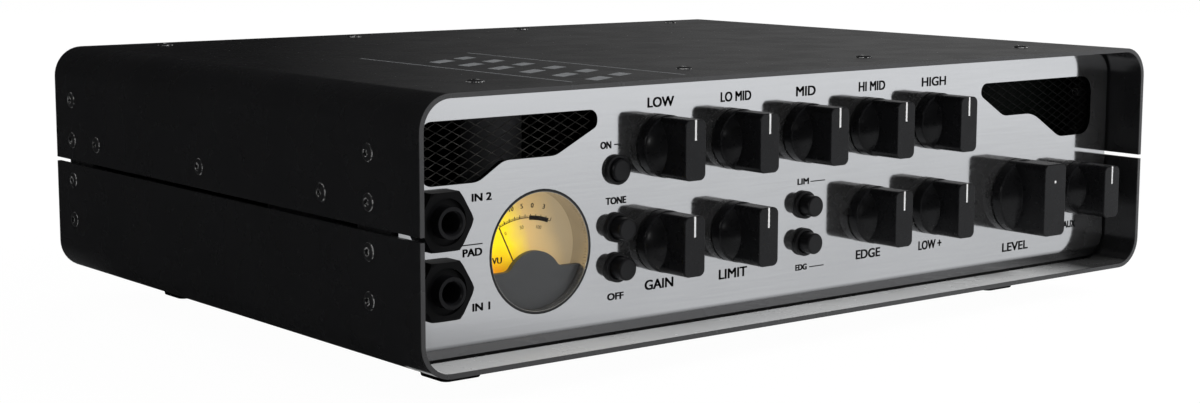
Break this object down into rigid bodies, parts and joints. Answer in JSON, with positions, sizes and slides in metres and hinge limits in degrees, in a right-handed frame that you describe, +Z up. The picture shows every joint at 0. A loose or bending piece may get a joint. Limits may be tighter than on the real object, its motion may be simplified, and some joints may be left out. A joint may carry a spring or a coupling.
{
  "type": "bass amplifier head",
  "caption": "Compact bass amplifier head: bent black covers, light front panel with bar knobs, push buttons, jacks, a round needle meter and shaped vents, on rubber feet.",
  "frame": {"origin": "on the surface the feet stand on, under the centre of the bounding box", "axes": "+X to the right seen from the front, +Y from the front panel to the rear, +Z up"},
  "size_m": [0.3366, 0.2528, 0.0963],
  "materials": {
    "cover_paint": "fine textured black powder coat",
    "panel_metal": "bright polished plate with a soft sheen",
    "mesh_metal": "dull expanded sheet",
    "foot_rubber": "matt black",
    "screw_black": "black oxide",
    "screw_steel": "zinc plated",
    "knob_plastic": "moulded, fine matt grain",
    "button_plastic": "moulded, satin",
    "jack_plastic": "moulded, satin",
    "nut_black": "satin black",
    "nut_steel": "nickel plated",
    "pot_metal": "plated can",
    "switch_plastic": "moulded",
    "meter_black": "moulded, matt",
    "meter_clear": "clear lens",
    "dial_amber": "printed dial lit from the left",
    "meter_grey": "moulded, grey",
    "needle_red": "matt dark lacquer",
    "coil_metal": "bare metal",
    "lamp_amber": "warm lamp",
    "board_green": "solder mask",
    "heat_sink_metal": "extruded, bare",
    "core_grey": "ferrite core with taped winding",
    "can_black": "sleeved cans",
    "fan_plastic": "moulded black",
    "inlet_plastic": "moulded black",
    "rocker_plastic": "moulded, glossy",
    "socket_plastic": "moulded black",
    "socket_metal": "plated shell"
  },
  "bodies": {
    "chassis": {"top_cover": "cover_paint", "bottom_cover": "cover_paint", "left_side_rail": "cover_paint", "right_side_rail": "cover_paint", "rubber_feet": "foot_rubber", "side_screws": "screw_black", "top_screws": "screw_black", "foot_screws": "screw_steel", "front_panel": "panel_metal", "front_bracket": "cover_paint", "left_vent_mesh": "mesh_metal", "right_vent_mesh": "mesh_metal", "potentiometers": "pot_metal", "pot_nuts": "nut_steel", "button_collars": "button_plastic", "push_switches": "switch_plastic", "upper_input_jack": "jack_plastic", "lower_input_jack": "jack_plastic", "input_jack_nuts": "nut_black", "meter_housing": "meter_black", "meter_lens": "meter_clear", "meter_dial": "dial_amber", "meter_cover": "meter_grey", "meter_movement": "coil_metal", "meter_lamp": "lamp_amber", "control_board": "board_green", "power_board": "board_green", "board_standoffs": "screw_steel", "heat_sink": "heat_sink_metal", "power_transformer": "core_grey", "capacitors": "can_black", "fan_housing": "fan_plastic", "rear_panel": "cover_paint", "mains_inlet": "inlet_plastic", "power_switch_frame": "inlet_plastic", "left_speaker_socket": "socket_plastic", "right_speaker_socket": "socket_plastic", "balanced_output_socket": "socket_metal", "rear_jacks": "jack_plastic", "rear_jack_nuts": "nut_steel", "rear_screws": "screw_black"},
    "bass_knob": {"bass_knob": "knob_plastic"},
    "low_mid_knob": {"low_mid_knob": "knob_plastic"},
    "middle_knob": {"middle_knob": "knob_plastic"},
    "high_mid_knob": {"high_mid_knob": "knob_plastic"},
    "treble_knob": {"treble_knob": "knob_plastic"},
    "gain_knob": {"gain_knob": "knob_plastic"},
    "compressor_knob": {"compressor_knob": "knob_plastic"},
    "drive_knob": {"drive_knob": "knob_plastic"},
    "sub_knob": {"sub_knob": "knob_plastic"},
    "master_knob": {"master_knob": "knob_plastic"},
    "phones_knob": {"phones_knob": "knob_plastic"},
    "active_button": {"active_button": "button_plastic"},
    "shape_button": {"shape_button": "button_plastic"},
    "mute_button": {"mute_button": "button_plastic"},
    "compressor_button": {"compressor_button": "button_plastic"},
    "drive_button": {"drive_button": "button_plastic"},
    "meter_needle": {"meter_needle": "needle_red"},
    "power_rocker": {"power_rocker": "rocker_plastic"},
    "fan_rotor": {"fan_rotor": "fan_plastic"}
  },
  "joints": [
    {"name": "bass_knob_turn", "type": "hinge", "parent": "chassis", "child": "bass_knob", "pos_m": [-0.0633, -0.11565, 0.0722], "axis": [0, 1, 0], "range_deg": [-150, 150]},
    {"name": "low_mid_knob_turn", "type": "hinge", "parent": "chassis", "child": "low_mid_knob", "pos_m": [-0.031, -0.11565, 0.0722], "axis": [0, 1, 0], "range_deg": [-150, 150]},
    {"name": "middle_knob_turn", "type": "hinge", "parent": "chassis", "child": "middle_knob", "pos_m": [0.0013, -0.11565, 0.0722], "axis": [0, 1, 0], "range_deg": [-150, 150]},
    {"name": "high_mid_knob_turn", "type": "hinge", "parent": "chassis", "child": "high_mid_knob", "pos_m": [0.0336, -0.11565, 0.0722], "axis": [0, 1, 0], "range_deg": [-150, 150]},
    {"name": "treble_knob_turn", "type": "hinge", "parent": "chassis", "child": "treble_knob", "pos_m": [0.0659, -0.11565, 0.0722], "axis": [0, 1, 0], "range_deg": [-150, 150]},
    {"name": "gain_knob_turn", "type": "hinge", "parent": "chassis", "child": "gain_knob", "pos_m": [-0.0633, -0.11565, 0.041], "axis": [0, 1, 0], "range_deg": [-150, 150]},
    {"name": "compressor_knob_turn", "type": "hinge", "parent": "chassis", "child": "compressor_knob", "pos_m": [-0.031, -0.11565, 0.041], "axis": [0, 1, 0], "range_deg": [-150, 150]},
    {"name": "drive_knob_turn", "type": "hinge", "parent": "chassis", "child": "drive_knob", "pos_m": [0.0336, -0.11565, 0.041], "axis": [0, 1, 0], "range_deg": [-150, 150]},
    {"name": "sub_knob_turn", "type": "hinge", "parent": "chassis", "child": "sub_knob", "pos_m": [0.0659, -0.11565, 0.041], "axis": [0, 1, 0], "range_deg": [-150, 150]},
    {"name": "master_knob_turn", "type": "hinge", "parent": "chassis", "child": "master_knob", "pos_m": [0.1129, -0.11565, 0.041], "axis": [0, 1, 0], "range_deg": [-150, 150]},
    {"name": "phones_knob_turn", "type": "hinge", "parent": "chassis", "child": "phones_knob", "pos_m": [0.1482, -0.11565, 0.041], "axis": [0, 1, 0], "range_deg": [-150, 150]},
    {"name": "active_button_press", "type": "slide", "parent": "chassis", "child": "active_button", "axis": [0, 1, 0], "range_m": [-0.0031, 0]},
    {"name": "shape_button_press", "type": "slide", "parent": "chassis", "child": "shape_button", "axis": [0, 1, 0], "range_m": [0, 0.0031], "stiffness_N_per_m": 300, "springref_m": -0.001},
    {"name": "mute_button_press", "type": "slide", "parent": "chassis", "child": "mute_button", "axis": [0, 1, 0], "range_m": [0, 0.0031], "stiffness_N_per_m": 300, "springref_m": -0.001},
    {"name": "compressor_button_press", "type": "slide", "parent": "chassis", "child": "compressor_button", "axis": [0, 1, 0], "range_m": [0, 0.0031], "stiffness_N_per_m": 300, "springref_m": -0.001},
    {"name": "drive_button_press", "type": "slide", "parent": "chassis", "child": "drive_button", "axis": [0, 1, 0], "range_m": [0, 0.0031], "stiffness_N_per_m": 300, "springref_m": -0.001},
    {"name": "meter_needle_swing", "type": "hinge", "parent": "chassis", "child": "meter_needle", "pos_m": [-0.1122, -0.1014, 0.02625], "axis": [0, 1, 0], "range_deg": [0, 52], "stiffness_Nm_per_rad": 0.00002, "springref_deg": -17.19},
    {"name": "power_rocker_tip", "type": "hinge", "parent": "chassis", "child": "power_rocker", "pos_m": [-0.101, 0.10135, 0.054], "axis": [1, 0, 0], "range_deg": [0, 16]},
    {"name": "fan_rotor_spin", "type": "hinge", "parent": "chassis", "child": "fan_rotor", "pos_m": [0.124, 0.08935, 0.053], "axis": [0, 1, 0], "continuous": true}
  ]
}
